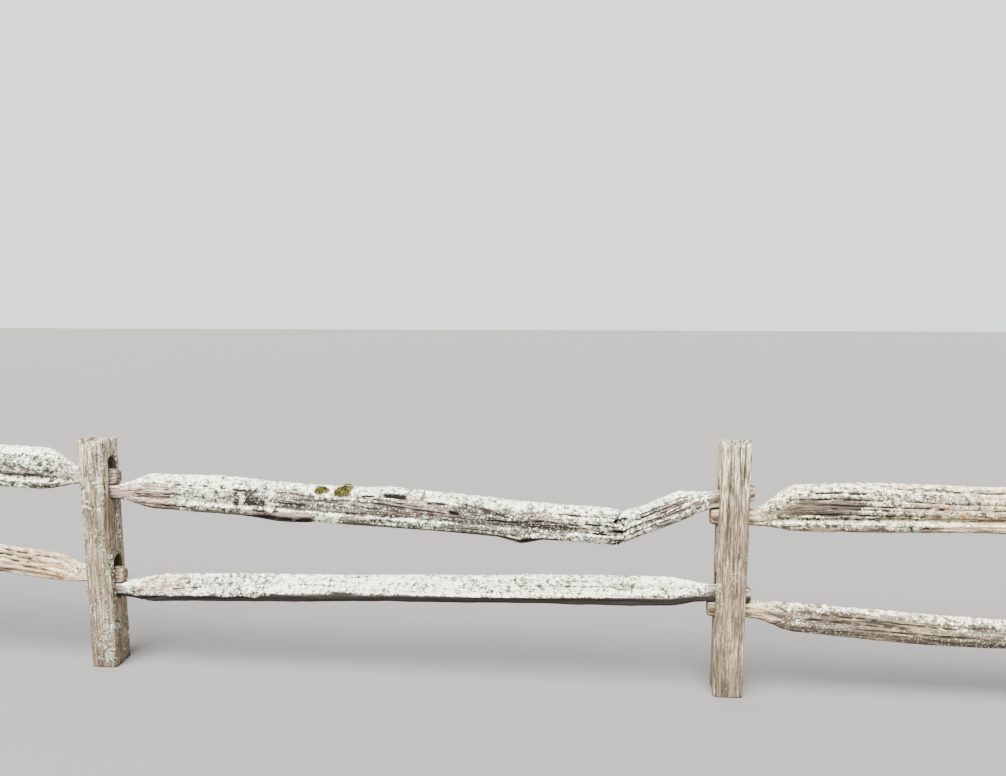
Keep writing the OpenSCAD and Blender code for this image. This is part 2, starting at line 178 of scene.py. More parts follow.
def weatheredWood(name):
    look = woodLooks[name]
    material, tree, shader = newMaterial(name, 0.9)
    grain = addNode(tree, "ShaderNodeAttribute", {"attribute_name": "grain"}, {}, "Vector")
    place = addNode(tree, "ShaderNodeTexCoord", {}, {}, "Object")
    worn = {part: addNode(tree, "ShaderNodeAttribute", {"attribute_name": part}, {}, "Fac")
            for part in (*woodLayers, "lichen")}
    speck, patch, blotch = (addNode(tree, "ShaderNodeTexNoise", {}, {"Vector": place, **noises[part]})
                            for part in ("speck", "patch", "blotch"))
    along = {}
    for part in ("fibre", "streak", "hair", "tongue"):
        far, near = woodScale[part]
        stretched = addNode(tree, "ShaderNodeVectorMath", {"operation": "MULTIPLY"},
                            {0: grain, 1: (1000 / far, 1000 / near, 1000 / near)})
        along[part] = addNode(tree, "ShaderNodeTexNoise", {}, {
            "Vector": stretched, "Scale": 1, "Detail": 5 if part == "fibre" else 2.5, "Roughness": 0.6})

    # Grey wood, with hair checks where the slow waves along the grain pass their middle
    offMiddle = addNode(tree, "ShaderNodeMath", {"operation": "SUBTRACT"}, {0: along["hair"], 1: 0.5})
    offMiddle = addNode(tree, "ShaderNodeMath", {"operation": "ABSOLUTE"}, {0: offMiddle})
    hairCheck = addNode(tree, "ShaderNodeMapRange", {}, {0: offMiddle, **woodRanges["hairCheck"]})
    tone = addNode(tree, "ShaderNodeMix", {},
                   {0: woodBlend["streak"], 2: along["fibre"], 3: along["streak"]})
    woodStops = list(zip(woodTones, (look["dark"], look["mid"], look["light"])))
    wood = addNode(tree, "ShaderNodeValToRGB", {"stops": woodStops}, {0: tone})
    paler = addNode(tree, "ShaderNodeMapRange", {}, {0: worn["bare"], **woodRanges["paler"]})
    freshTone = addNode(tree, "ShaderNodeMath", {"operation": "ADD"}, {0: tone, 1: paler})
    freshStops = [(woodTones[0], look["bareDark"]), (woodTones[2], look["bare"])]
    fresh = addNode(tree, "ShaderNodeValToRGB", {"stops": freshStops}, {0: freshTone})
    ragged = addNode(tree, "ShaderNodeMath", {"operation": "MULTIPLY_ADD"},
                     {0: along["tongue"], 1: woodBlend["ragged"], 2: worn["bare"]})
    isFresh = addNode(tree, "ShaderNodeMapRange", {}, {0: ragged, **woodRanges["isFresh"]})
    rustTone = addNode(tree, "ShaderNodeMath", {"operation": "MULTIPLY"},
                       {0: worn["rust"], 1: along["tongue"]})
    # Painted shade: the under layer darkens faces turned down, recesses at the posts and the bands under
    # the rails; it also darkens some patches of wood
    shaded = addNode(tree, "ShaderNodeMath", {"operation": "MULTIPLY"},
                     {0: worn["under"], 1: woodBlend["shade"]})
    pitted = addNode(tree, "ShaderNodeMapRange", {}, {0: speck, **woodRanges["pitted"]})
    # The last two mixes paint shade: under with the shade colour, hollow with a very dark one in checks,
    # cracks and holes
    for factor, colour in ((isFresh, fresh), (rustTone, linear(stainsAndShade["rust"])),
                           (hairCheck, linear(look["dark"])), (pitted, linear(look["dark"])),
                           (shaded, linear(stainsAndShade["shade"])), (worn["hollow"], linear(stainsAndShade["check"]))):
        wood = addNode(tree, "ShaderNodeMix", {"data_type": "RGBA"}, {0: factor, 6: wood, 7: colour}, 2)

    # Crust of lichen: lobes as wide as the real ones, darker in the gaps between them (painted shade over a
    # darker ground), palest on faces turned up (painted light)
    ruffled = addNode(tree, "ShaderNodeMix", {"data_type": "RGBA", "blend_type": "LINEAR_LIGHT"},
                      {0: woodBlend["ruffle"], 6: place, 7: speck.node.outputs["Color"]}, 2)
    lobeCells = {"Vector": ruffled, "Scale": 1000 / look["lobe"]}
    lobes = addNode(tree, "ShaderNodeTexVoronoi", {}, lobeCells, "Color")
    gaps = addNode(tree, "ShaderNodeTexVoronoi", {"feature": "DISTANCE_TO_EDGE"}, lobeCells)
    crustTone = addNode(tree, "ShaderNodeMath", {"operation": "MULTIPLY"},
                        {0: speck, 1: crustBlend["speck"]})
    for part, share in ((blotch, "blotch"), (lobes, "lobes"), (worn["lichen"], "lichen")):
        crustTone = addNode(tree, "ShaderNodeMath", {"operation": "MULTIPLY_ADD"},
                            {0: part, 1: crustBlend[share], 2: crustTone})
    # Painted light: the crust is made paler on faces turned up
    facing = addNode(tree, "ShaderNodeSeparateXYZ", {}, {
        "Vector": addNode(tree, "ShaderNodeNewGeometry", {}, {}, "Normal")}, "Z")
    onTop = addNode(tree, "ShaderNodeMapRange", {}, {0: facing, **woodRanges["onTop"]})
    crustTone = addNode(tree, "ShaderNodeMath", {"operation": "ADD"}, {0: crustTone, 1: onTop})
    crustStops = list(zip(crustTones, (look["crustDark"], look["crustMid"], look["crustLight"])))
    crust = addNode(tree, "ShaderNodeValToRGB", {"stops": crustStops}, {0: crustTone})
    # Gaps between the lobes: painted shade there, over the crust's dark ground
    inGap = addNode(tree, "ShaderNodeMapRange", {}, {0: gaps, **woodRanges["inGap"]})
    crust = addNode(tree, "ShaderNodeMix", {"data_type": "RGBA"},
                    {0: inGap, 6: crust, 7: linear(look["crustDark"])}, 2)
    spread = worn["lichen"]
    for part, share in ((speck, "speck"), (patch, "patch")):
        spread = addNode(tree, "ShaderNodeMath", {"operation": "MULTIPLY_ADD"},
                         {0: part, 1: coverBlend[share], 2: spread})
    covered = addNode(tree, "ShaderNodeMapRange", {}, {0: spread, **woodRanges["covered"]})
    colour = addNode(tree, "ShaderNodeMix", {"data_type": "RGBA"}, {0: covered, 6: wood, 7: crust}, 2)

    # Young crusts: round pale dots strewn over the bare wood
    dots = addNode(tree, "ShaderNodeTexVoronoi", {}, {"Vector": ruffled, "Scale": 1000 / woodScale["dot"]})
    chosen = addNode(tree, "ShaderNodeMapRange", {}, {
        0: dots.node.outputs["Color"], 4: look["dots"], **woodRanges["chosen"]})
    dotted = addNode(tree, "ShaderNodeMath", {"operation": "SUBTRACT"},
                     {0: worn["lichen"], 1: worn["hollow"]})
    dotted = addNode(tree, "ShaderNodeMapRange", {}, {0: dotted, **woodRanges["dotted"]})
    isDot = addNode(tree, "ShaderNodeMapRange", {}, {0: dots, **woodRanges["isDot"]})
    for part in (chosen, dotted):
        isDot = addNode(tree, "ShaderNodeMath", {"operation": "MULTIPLY"}, {0: isDot, 1: part})
    colour = addNode(tree, "ShaderNodeMix", {"data_type": "RGBA"},
                     {0: isDot, 6: colour, 7: linear(look["crustLight"])}, 2)

    # Yellow-green film of moss and algae
    mossy = addNode(tree, "ShaderNodeMath", {"operation": "MULTIPLY_ADD"},
                    {0: speck, 1: woodBlend["film"], 2: worn["moss"]})
    isMossy = addNode(tree, "ShaderNodeMapRange", {}, {0: mossy, **woodRanges["isMossy"]})
    mossTone = addNode(tree, "ShaderNodeValToRGB", {"stops": mossFilm}, {0: speck})
    colour = addNode(tree, "ShaderNodeMix", {"data_type": "RGBA"}, {0: isMossy, 6: colour, 7: mossTone}, 2)
    tree.links.new(colour, shader.inputs["Base Color"])

    crustHeight = addNode(tree, "ShaderNodeMix", {}, {0: 0.5, 2: gaps, 3: speck})
    height = addNode(tree, "ShaderNodeMix", {}, {0: covered, 2: along["fibre"], 3: crustHeight})
    height = addNode(tree, "ShaderNodeMath", {"operation": "SUBTRACT"}, {0: height, 1: hairCheck})
    bumps = addNode(tree, "ShaderNodeBump", {}, {"Height": height, **woodBumps})
    tree.links.new(bumps, shader.inputs["Normal"])
    return material


# Foliose lichen: dry, papery, almost white at the lifted rims, grey-green in the cupped middle
leafLook = {
    "blend": {"speck": 0.36, "blotch": 0.80, "lichen": 0.15, "rim": 0.06, "tone": 0.36, "onTop": 1.0},
    "ramp": [(0.73, "#33342c"), (0.825, "#83866f"), (0.90, "#d5d6c1"), (0.97, "#fefdea")],
    "onTop": {1: 0.3, 2: 0.9, 3: 0.0, 4: 0.08},
    "warm": "#faf3dc", "isWarm": {1: 0.48, 2: 0.64, 3: 0.0, 4: 0.8}}


def paperyLichen():
    material, tree, shader = newMaterial("paperyLichen", 0.95)
    place = addNode(tree, "ShaderNodeTexCoord", {}, {}, "Object")
    paleParts = {part: addNode(tree, "ShaderNodeAttribute", {"attribute_name": part}, {}, "Fac")
                 for part in ("lichen", "rim", "tone")}
    for part in ("speck", "blotch", "warm"):
        paleParts[part] = addNode(tree, "ShaderNodeTexNoise", {}, {"Vector": place, **noises[part]})
    # Painted light: rosettes on faces turned up are made paler
    facing = addNode(tree, "ShaderNodeSeparateXYZ", {}, {
        "Vector": addNode(tree, "ShaderNodeNewGeometry", {}, {}, "Normal")}, "Z")
    paleParts["onTop"] = addNode(tree, "ShaderNodeMapRange", {}, {0: facing, **leafLook["onTop"]})
    shade = 0.0
    for part, share in leafLook["blend"].items():
        shade = addNode(tree, "ShaderNodeMath", {"operation": "MULTIPLY_ADD"},
                        {0: paleParts[part], 1: share, 2: shade})
    colour = addNode(tree, "ShaderNodeValToRGB", {"stops": leafLook["ramp"]}, {0: shade})
    isWarm = addNode(tree, "ShaderNodeMapRange", {}, {0: paleParts["warm"], **leafLook["isWarm"]})
    colour = addNode(tree, "ShaderNodeMix", {"data_type": "RGBA", "blend_type": "MULTIPLY"},
                     {0: isWarm, 6: colour, 7: linear(leafLook["warm"])}, 2)
    tree.links.new(colour, shader.inputs["Base Color"])
    return material


# Cushion moss: soft, dry tips in yellow-olive over dark green-brown
mossLook = {"tone": 0.4, "clump": 2.6, "whole": 0.4,
            "ramp": [(0.56, "#0e0d07"), (0.68, "#28260d"), (0.90, "#6f6620")]}


def cushionMoss():
    material, tree, shader = newMaterial("cushionMoss", 0.95)
    place = addNode(tree, "ShaderNodeTexCoord", {}, {}, "Object")
    tone, rim = (addNode(tree, "ShaderNodeAttribute", {"attribute_name": part}, {}, "Fac")
                 for part in ("tone", "rim"))
    clump = addNode(tree, "ShaderNodeTexNoise", {}, {"Vector": place, **noises["clump"]})
    shade = addNode(tree, "ShaderNodeMix", {}, {0: mossLook["tone"], 2: rim, 3: tone})
    shade = addNode(tree, "ShaderNodeMath", {"operation": "MULTIPLY_ADD"},
                    {0: clump, 1: mossLook["clump"], 2: shade})
    shade = addNode(tree, "ShaderNodeMath", {"operation": "MULTIPLY"}, {0: shade, 1: mossLook["whole"]})
    colour = addNode(tree, "ShaderNodeValToRGB", {"stops": mossLook["ramp"]}, {0: shade})
    tree.links.new(colour, shader.inputs["Base Color"])
    return material


# The timbers. Cracks go from one place (x, height share) to another with a width and a depth;
# patches lie between two places along the rail and two height shares, on the front and the top.
rails = {
    "bay_1_top_rail": {"seed": 11, "fine": 0.0060, "lichen": 0.58},
    "bay_1_bottom_rail": {
        "seed": 12, "fine": 0.0042, "lichen": 0.40, "wood": "bareRailWood",
        "cracks": [(-3.90, 0.10, -3.16, 0.16, 0.006, 0.012), (-3.70, 0.48, -3.24, 0.40, 0.005, 0.008),
                   (-3.60, -0.10, -3.20, -0.16, 0.005, 0.006), (-3.56, 0.74, -3.18, 0.70, 0.004, 0.006)],
        "patches": [("bare", -3.90, -3.06, -0.1, 1.4, 1.0), ("lichen", -3.90, -3.10, -0.1, 1.4, 0.34),
                    ("bare", -3.80, -3.02, -1.2, 0.0, 1.0), ("clean", -3.80, -3.02, -1.2, 0.0, 0.6),
                    ("rust", -3.30, -3.10, -1.2, 0.6, 0.5)]},
    "bay_2_top_rail": {
        "seed": 21, "fine": 0.0034, "lichen": 0.52,
        "cracks": [
            (-2.76, -0.62, -2.42, -0.70, 0.006, 0.012), (-2.78, -0.05, -2.50, 0.02, 0.004, 0.005),
            (-2.76, 0.30, -2.56, 0.28, 0.004, 0.004), (-2.60, 0.62, -2.20, 0.52, 0.005, 0.007),
            (-2.28, 0.50, -2.08, 0.56, 0.005, 0.008), (-2.08, 0.06, -1.92, 0.02, 0.005, 0.006),
            (-2.18, -0.94, -1.84, -1.02, 0.006, 0.010),
            (-1.80, 0.50, -1.26, 0.02, 0.004, 0.006), (-1.74, 0.66, -1.34, 0.26, 0.004, 0.006),
            (-1.66, 0.40, -1.22, 0.06, 0.004, 0.005), (-1.60, 0.30, -1.36, 0.10, 0.003, 0.005),
            (-1.74, 0.20, -1.44, -0.08, 0.003, 0.005), (-1.37, 0.50, -1.26, 0.58, 0.006, 0.008),
            (-1.45, 0.02, -1.16, -0.08, 0.005, 0.007), (-1.262, 0.20, -1.205, 0.14, 0.011, 0.016),
            (-1.67, 0.68, -1.60, 0.66, 0.006, 0.008), (-1.565, 0.70, -1.445, 0.71, 0.010, 0.030),
            (-1.10, -0.08, -0.88, 0.22, 0.006, 0.009), (-0.90, 0.22, -0.62, 0.10, 0.005, 0.007),
            (-0.95, 0.62, -0.62, 0.66, 0.004, 0.005), (-0.66, 0.22, -0.49, 0.14, 0.005, 0.009),
            (-0.74, 0.62, -0.46, 0.66, 0.005, 0.010), (-0.62, -0.30, -0.48, -0.34, 0.005, 0.009),
            (-0.52, 0.44, -0.46, 0.48, 0.008, 0.022), (-0.53, -0.12, -0.44, -0.04, 0.009, 0.026),
            (-0.52, -0.80, -0.45, -0.74, 0.009, 0.018)],
        "patches": [
            ("bare", -2.86, -2.55, -0.75, 0.75, 0.9), ("clean", -2.86, -2.56, -0.75, 0.72, 0.45),
            ("lichen", -2.54, -2.30, -0.8, 1.4, 1.05), ("lichen", -2.27, -2.11, -0.48, 0.48, 0.13),
            ("dark", -2.27, -2.11, -0.50, 0.48, 1.2),
            ("lichen", -2.08, -1.90, -0.38, 0.70, 0.28), ("dark", -2.08, -1.90, -0.36, 0.66, 0.75),
            ("lichen", -1.90, -1.72, -0.25, 0.50, 0.46), ("dark", -1.90, -1.72, -0.20, 0.46, 0.5),
            ("lichen", -2.236, -2.216, -0.65, 0.5, 1.2), ("lichen", -2.115, -2.078, -1.1, 0.6, 1.2),
            ("bare", -2.18, -2.12, -1.0, -0.42, 1.4), ("clean", -2.18, -2.12, -1.0, -0.46, 0.6),
            ("bare", -2.08, -1.88, -0.92, -0.46, 1.4), ("clean", -2.08, -1.88, -0.92, -0.50, 0.6),
            # Painted shadow of the splinter on the underside of the rail
            ("dark", -2.19, -1.83, -1.8, -0.88, 1.1), ("clean", -2.19, -1.83, -1.8, -0.82, 2.4),
            ("dark", -2.21, -2.07, -1.8, -0.72, 1.1), ("clean", -2.21, -2.07, -1.8, -0.68, 2.4),
            ("blackShade", -2.19, -2.07, -1.8, -0.80, 0.9),
            ("blackShade", -2.15, -1.95, -1.8, -0.93, 0.9), ("blackShade", -1.97, -1.84, -1.8, -0.80, 1.1),
            ("lichen", -1.88, -1.76, -0.98, -0.42, 1.4),
            ("lichen", -1.76, -1.64, -0.62, -0.18, 0.42), ("bare", -1.76, -1.64, -0.62, -0.18, 0.7),
            ("lichen", -1.70, -1.45, -0.25, 0.50, 0.42), ("dark", -1.70, -1.45, -0.25, 0.46, 0.6),
            ("bare", -1.54, -1.25, -0.20, 0.62, 0.8), ("lichen", -1.54, -1.26, -0.20, 0.62, 0.24),
            # The black patch on this line paints a very dark shade in a hole
            ("dark", -1.54, -1.26, -0.20, 0.55, 0.75), ("blackShade", -1.545, -1.465, 0.62, 0.78, 1.4),
            ("dark", -1.47, -1.40, -0.85, -0.50, 0.8),
            ("lichen", -1.27, -0.83, -0.72, 0.66, 0.36), ("dark", -1.27, -0.83, -0.80, 0.60, 0.85),
            ("bare", -0.94, -0.74, 0.25, 0.66, 1.0), ("lichen", -0.94, -0.74, 0.25, 0.66, 0.40),
            ("lichen", -0.93, -0.67, -0.46, 0.14, 0.32), ("dark", -0.93, -0.67, -0.50, 0.14, 0.85),
            # Painted shade on the underside of the bump (the dark, clean and black patches on these lines)
            ("lichen", -1.00, -0.64, -0.66, -0.48, 1.3), ("dark", -0.99, -0.84, -1.8, -0.58, 1.2),
            ("dark", -0.86, -0.74, -1.8, -0.74, 1.2),
            ("clean", -0.99, -0.84, -1.8, -0.60, 1.6), ("clean", -0.86, -0.74, -1.8, -0.76, 1.6),
            ("blackShade", -0.98, -0.76, -1.8, -0.80, 0.8),
            ("moss", -1.895, -1.815, 0.66, 0.92, 1.0),
            ("moss", -1.796, -1.710, 0.60, 1.00, 1.05), ("lichen", -0.76, -0.53, -1.1, -0.55, 1.2),
            ("lichen", -0.66, -0.52, -0.6, 0.6, 0.88), ("bloom", -0.72, -0.46, -0.6, 0.7, 0.34)]},
    "bay_2_top_rail_stub": {
        "seed": 22, "fine": 0.0034, "lichen": 0.56, "checks": 0.35,
        "cracks": [
            (-0.51, 0.66, -0.455, 0.72, 0.006, 0.014), (-0.54, 0.00, -0.45, 0.06, 0.009, 0.026),
            (-0.53, -0.80, -0.47, -0.72, 0.009, 0.018), (-0.50, 0.06, -0.20, 0.18, 0.004, 0.006),
            (-0.52, -0.42, -0.24, -0.30, 0.004, 0.005), (-0.50, 0.42, -0.16, 0.52, 0.004, 0.006),
            (-0.44, 0.76, -0.18, 0.72, 0.003, 0.004), (-0.42, -0.12, -0.22, -0.06, 0.003, 0.004),
            (-0.40, 0.24, -0.18, 0.34, 0.004, 0.006)],
        "patches": [("lichen", -0.47, -0.32, -0.8, 0.9, 0.74), ("bare", -0.36, -0.10, -0.6, 0.75, 0.85),
                    ("clean", -0.32, -0.10, -0.55, 0.6, 0.12),
                    ("dark", -0.34, -0.10, -0.6, 0.5, 0.45)]},
    "bay_2_bottom_rail": {
        "seed": 23, "fine": 0.0036, "lichen": 0.84, "floor": -0.26,
        "cracks": [(-2.70, 0.10, -2.45, 0.06, 0.004, 0.004), (-0.60, 0.30, -0.36, 0.22, 0.004, 0.005)],
        "patches": [("bare", -2.80, -2.51, -0.5, 1.0, 0.9), ("lichen", -2.80, -2.10, -0.5, 0.95, 0.66),
                    ("clean", -2.80, -2.53, -0.3, 0.9, 0.25),
                    ("dark", -1.83, -1.71, -1.8, -0.15, 1.15), ("clean", -1.83, -1.71, -1.8, -0.15, 2.0),
                    ("clean", -0.48, -0.40, 0.1, 0.9, 0.6), ("bare", -0.50, -0.38, 0.0, 1.0, 0.8)]},
    "bay_3_top_rail": {
        "seed": 31, "fine": 0.0042, "lichen": 0.50, "checks": 0.35, "wood": "bareRailWood",
        "slot": "lichened_rail",
        "cracks": [(0.22, -0.20, 0.85, -0.25, 0.005, 0.009), (0.24, 0.46, 0.66, 0.40, 0.006, 0.008),
                   (0.30, 0.22, 0.95, 0.05, 0.004, 0.006), (0.66, 0.40, 1.20, 0.30, 0.005, 0.007),
                   (0.36, 0.08, 0.80, -0.05, 0.004, 0.005), (0.30, 0.72, 0.60, 0.66, 0.005, 0.006),
                   (0.70, 0.16, 1.30, 0.06, 0.005, 0.006), (0.62, 0.86, 1.40, 0.80, 0.005, 0.006)],
        "patches": [("lichen", 0.66, 1.60, -0.1, 1.2, 0.48), ("lichen", 0.20, 0.64, 0.46, 1.4, 0.66),
                    ("lichen", 0.64, 0.92, 0.50, 0.95, 0.72),
                    ("lichen", 0.50, 0.76, 0.10, 0.46, 0.60),
                    ("clean", 0.20, 0.52, -0.18, 0.42, 0.45), ("dark", 0.20, 0.66, -0.22, 0.40, 0.85),
                    ("dark", 0.56, 0.86, -0.22, -0.06, 0.8),
                    ("bare", 0.66, 1.50, -0.12, 1.2, 1.25), ("lichen", 0.86, 1.02, 0.28, 0.70, 0.62),
                    ("rust", 0.84, 1.02, -0.22, 0.10, 0.8), ("lichen", 0.28, 0.80, -1.0, -0.30, 0.66),
                    ("clean", 0.84, 1.5, -1.0, -0.3, 0.30), ("bare", 0.80, 1.5, -1.0, -0.3, 1.4),
                    # Painted shade on the underside
                    ("clean", 0.20, 1.6, -1.4, -0.78, 0.5), ("dark", 0.20, 1.6, -1.4, -0.78, 0.7)]},
    "bay_3_bottom_rail": {
        "seed": 32, "fine": 0.0042, "lichen": 0.10, "wood": "bareRailWood",
        "cracks": [(0.30, 0.10, 0.80, 0.05, 0.005, 0.007), (0.50, -0.25, 1.10, -0.20, 0.005, 0.006),
                   (0.60, 0.35, 1.00, 0.28, 0.004, 0.005), (0.38, 0.45, 0.70, 0.40, 0.004, 0.005)],
        "patches": [("dark", 0.18, 1.60, -1.2, 0.66, 0.80), ("lichen", 0.30, 1.60, -1.2, 0.60, 0.22),
                    ("lichen", 0.40, 0.72, 0.72, 1.3, 0.90), ("lichen", 0.72, 1.60, 0.80, 1.3, 0.90),
                    ("lichen", 0.84, 1.25, 0.46, 0.8, 0.60), ("bare", 0.55, 1.0, -0.4, 0.6, 0.5),
                    ("lichen", 0.90, 1.05, 0.0, 0.5, 0.40)]},
    "bay_4_top_rail": {"seed": 41, "fine": 0.0060, "lichen": 0.58},
    "bay_4_bottom_rail": {"seed": 42, "fine": 0.0060, "lichen": 0.42, "wood": "bareRailWood"},
}
# Checks in a post go from one place (height, x from its middle) to another on its front
posts = {
    "post_1": {"seed": 51, "fine": 0.0060, "lichen": 0.36},
    "post_2": {"seed": 52, "fine": 0.0042, "lichen": 0.34},
    "post_3": {"seed": 53, "fine": 0.0036, "lichen": 0.10,
               "cracks": [(0.70, -0.030, 1.12, -0.022, 0.005, 0.009),
                          (0.20, 0.018, 0.86, 0.026, 0.006, 0.012),
                          (0.92, 0.034, 1.14, 0.030, 0.004, 0.006),
                          (0.40, -0.044, 0.74, -0.040, 0.004, 0.006)]},
    "post_4": {"seed": 54, "fine": 0.0060, "lichen": 0.36},
    "post_5": {"seed": 55, "fine": 0.0060, "lichen": 0.40},
}
postHalf = (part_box("post_3")[1].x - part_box("post_3")[0].x) / 2
postPlaces = [(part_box(post)[0].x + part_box(post)[1].x) / 2 for post in posts]
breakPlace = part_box("bay_2_top_rail")[1].x


def smooth(low, high, values):
    t = np.clip((values - low) / (high - low), 0, 1)
    return t * t * (3 - 2 * t)


def waves(points, size, seed):
    where = points / np.array(size) + seed * 7.31
    return np.array([noise.noise(p) for p in where.tolist()])


def readMesh(mesh):
    points, normals = np.zeros(len(mesh.vertices) * 3), np.zeros(len(mesh.vertices) * 3)
    mesh.vertices.foreach_get("co", points)
    mesh.vertex_normals.foreach_get("vector", normals)
    return points.reshape(-1, 3), normals.reshape(-1, 3)


def saveLayers(mesh, points, grain, layers):
    mesh.vertices.foreach_set("co", points.ravel())
    mesh.update()
    vectors = mesh.attributes.new("grain", "FLOAT_VECTOR", "POINT")
    vectors.data.foreach_set("vector", grain.astype(np.float32).ravel())
    for name, values in layers.items():
        layer = mesh.attributes.new(name, "FLOAT", "POINT")
        layer.data.foreach_set("value", np.clip(values, 0, 1.4).astype(np.float32))


def applyModifier(piece, kind, **settings):
    modifier = piece.modifiers.new(kind.lower(), kind)
    for key, value in settings.items():
        setattr(modifier, key, value)
    bpy.ops.object.modifier_apply(modifier=modifier.name)


# The skin is "pull" times coarser along the grain. A whole ring of the solid has "ring" points or more.
skinning = {"pull": 3.0, "soften": 3, "merge": 0.00002, "ring": 13, "sameRing": 0.0002, "overrun": 0.4}


def copyOfNode(node):
    piece = bpy.data.objects.new(node + "_timber", frame["nodes"][node].data.copy())
    bpy.context.scene.collection.objects.link(piece)
    piece.data.materials.clear()
    selectOnly(piece)
    bpy.ops.object.mode_set(mode="EDIT")
    bpy.ops.mesh.select_all(action="SELECT")
    bpy.ops.mesh.remove_doubles(threshold=skinning["merge"])
    bpy.ops.mesh.normals_make_consistent(inside=False)
    bpy.ops.object.mode_set(mode="OBJECT")
    return piece


def middleLine(points):
    # Every place along x with a whole ring of the solid gives its middle and its half sizes
    places, counts = np.unique(np.round(points[:, 0], 4), return_counts=True)
    rings = []
    for x in places[counts >= skinning["ring"]]:
        ring = points[np.abs(points[:, 0] - x) < skinning["sameRing"]]
        low, high = ring.min(0), ring.max(0)
        rings.append(np.concatenate([[x], (low + high)[1:] / 2, (high - low)[1:] / 2]))
    rings, past = np.array(rings), skinning["overrun"]
    before, after = (1 + past) * rings[0] - past * rings[1], (1 + past) * rings[-1] - past * rings[-2]
    before[3:], after[3:] = rings[0][3:], rings[-1][3:]
    return np.vstack([before, rings, after])  # a broken end runs on past its last whole ring


def skinAlong(piece, fine, axis):
    pull = [1, 1, 1, 1]
    pull[axis] = 1 / skinning["pull"]
    piece.data.transform(Matrix.Diagonal(pull))
    applyModifier(piece, "REMESH", mode="VOXEL", voxel_size=fine, use_smooth_shade=True)
    applyModifier(piece, "SMOOTH", factor=0.5, iterations=skinning["soften"])
    pull[axis] = skinning["pull"]
    piece.data.transform(Matrix.Diagonal(pull))


# Heights of the relief in metres, and its waves: along the grain, across it and into the wood
relief = {"fibre": 0.0015, "ridge": 0.0020, "step": 0.0042, "check": 0.009, "lump": 0.0016,
          "hewn": 0.0016, "wander": 0.012}
grainWaves = {"wander": (0.45, 0.08, 0.08), "fibre": (0.12, 0.007, 0.007), "ridge": (0.8, 0.034, 0.034),
              "smallRidge": (0.4, 0.014, 0.014), "step": (1.1, 0.07, 0.055),
              "check": (0.9, 0.045, 0.045), "parted": (0.45, 0.10, 0.10), "lump": (0.02, 0.016, 0.016)}


def woodRelief(grain, seed, strong=1):
    bent = grain.copy()  # the grain wanders a little, so that no ridge runs dead straight
    bent[:, 1] += relief["wander"] * waves(grain, grainWaves["wander"], seed + 20)
    bent[:, 2] += relief["wander"] * waves(grain, grainWaves["wander"], seed + 21)
    fibre = waves(bent, grainWaves["fibre"], seed)
    ridge = (0.6 * waves(bent, grainWaves["ridge"], seed + 1)
             + 0.5 * waves(bent, grainWaves["smallRidge"], seed + 5))
    level = waves(bent, grainWaves["step"], seed + 2) * 3
    step = (np.floor(level) + smooth(0.35, 0.65, level - np.floor(level))) / 3
    line = np.abs(waves(bent, grainWaves["check"], seed + 3))
    parted = smooth(0.02, 0.35, waves(grain, grainWaves["parted"], seed + 4))
    check = np.clip(1 - line / 0.08, 0, 1) * parted * strong
    height = (fibre * relief["fibre"] + ridge * relief["ridge"] + step * relief["step"]
              - check * relief["check"])
    return height, check


# A crack wanders and fades out at both ends. One deeper than "deep" is never broken up.
crackForm = {"wander": 0.003, "wanderWave": (0.09, 1, 1), "fade": 0.18, "darkAt": 0.45,
             "deep": 0.015, "breakWave": (0.035, 1, 1)}


def openCracks(cracks, along, across, scale, facing, seed):
    depth, dark, fade = np.zeros(len(along)), np.zeros(len(along)), crackForm["fade"]
    flat = np.column_stack([along, 0 * along, 0 * along])
    wander = waves(flat, crackForm["wanderWave"], seed) * crackForm["wander"]
    for number, (from1, side1, from2, side2, width, deep) in enumerate(cracks):
        t = (along - from1) / (from2 - from1)
        off = np.abs((across - side1 - (side2 - side1) * t) * scale + wander)
        groove = np.clip(1 - off / width, 0, 1) * smooth(0, fade, t) * smooth(0, fade, 1 - t) * facing
        depth = np.maximum(depth, groove * deep)
        broken = 1
        if deep <= crackForm["deep"]:
            broken = smooth(-0.30, 0.15, waves(flat, crackForm["breakWave"], seed + number))
        # dark: the painted shade in the crack
        dark = np.maximum(dark, smooth(0, crackForm["darkAt"], groove) * broken)
    return depth, dark


# Edges of a patch reach out in tongues along the grain, those of lichen in round lobes
patchForm = {"tongueWave": (0.30, 0.011, 0.011), "tongue": 0.09, "lobeWave": (0.03, 0.03, 0.03),
             "lobeShare": 0.4, "lobeLeast": 0.015, "lobeMost": 0.10, "mossAlong": 0.015, "mossUp": 0.05,
             "swayWave": (0.09, 0.03, 0.03), "sway": 0.28, "endSoft": 0.012, "sideSoft": 0.08}
# Patches of kind dark paint shade under the rails and the splinter, and also darken some patches of wood;
# the black patches paint a very dark shade under the splinter and the bump and in a hole
layerNames = {"dark": "under", "blackShade": "hollow", "bloom": "moss"}  # other kinds keep their name


